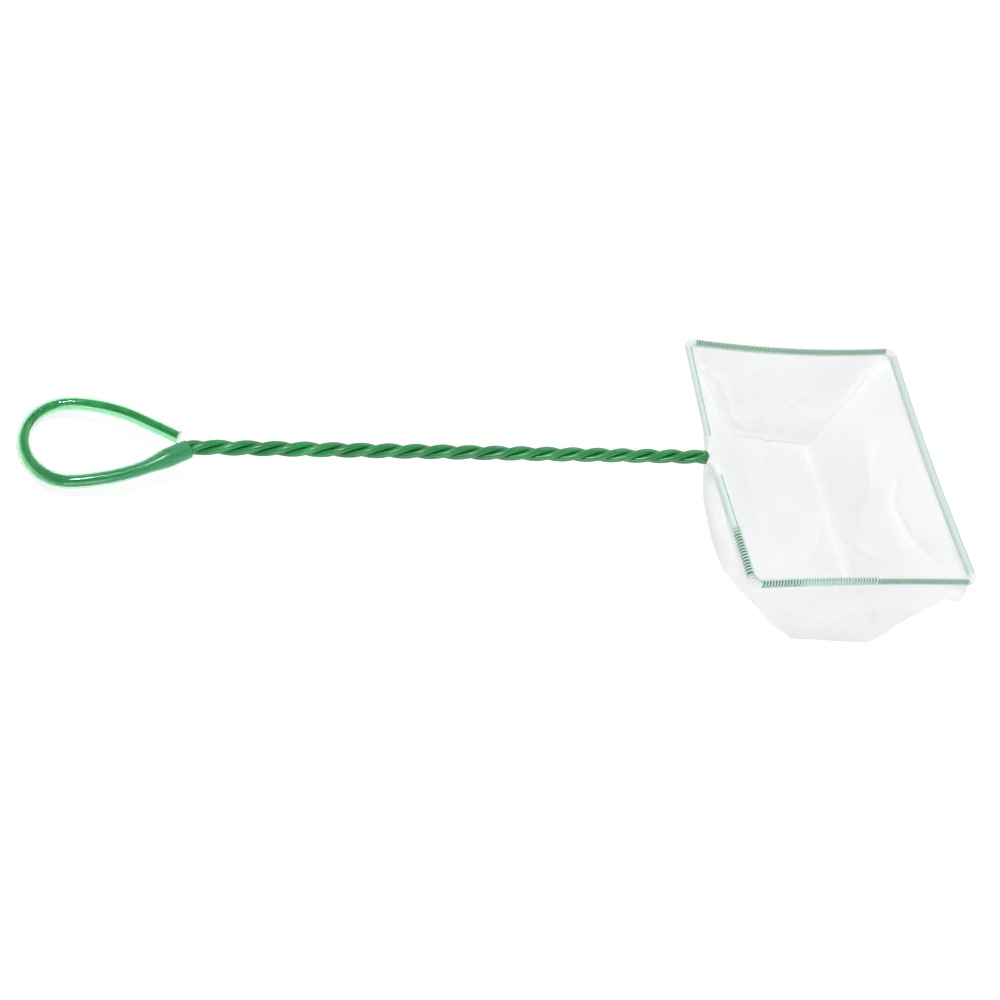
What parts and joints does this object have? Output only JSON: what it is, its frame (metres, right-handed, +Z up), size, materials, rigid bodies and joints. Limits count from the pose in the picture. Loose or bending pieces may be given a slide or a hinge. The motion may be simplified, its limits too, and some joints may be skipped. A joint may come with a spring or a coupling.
{
  "type": "aquarium fish net",
  "caption": "Small aquarium net: a fine mesh bag sewn on a rectangular coated wire mouth, a twisted wire handle and a sleeved finger loop.",
  "frame": {"origin": "middle of the net's box in plan, on the surface that the net lies on", "axes": "+X from the finger loop to the bag, +Z up, +Y to the far side of the bag as the picture shows it"},
  "size_m": [0.3994, 0.1314, 0.0757],
  "materials": {
    "steel_core": "drawn wire",
    "vinyl_coat": "smooth soft vinyl",
    "grip_tube": "clear green soft tube",
    "hem_cloth": "folded fine net",
    "bag_mesh": "fine woven nylon net",
    "seam_cloth": "rolled seam"
  },
  "bodies": {
    "root": {"frame_wire_core": "steel_core", "handle_core_a": "steel_core", "handle_core_b": "steel_core", "handle_core_c": "steel_core", "loop_core": "steel_core", "frame_wire_coat": "vinyl_coat", "handle_coat_a": "vinyl_coat", "handle_coat_b": "vinyl_coat", "handle_coat_c": "vinyl_coat", "loop_coat": "vinyl_coat", "grip_sleeve": "grip_tube", "hem_far": "hem_cloth", "hem_near": "hem_cloth", "hem_end": "hem_cloth", "hem_handle_far": "hem_cloth", "hem_handle_near": "hem_cloth", "corner_gathers": "hem_cloth", "neck_gathers": "hem_cloth", "strip_handle_wall": "bag_mesh", "strip_bottom": "bag_mesh", "strip_end_wall": "bag_mesh", "gusset_near": "bag_mesh", "gusset_far": "bag_mesh", "seam_near": "seam_cloth", "seam_far": "seam_cloth"}
  },
  "joints": []
}
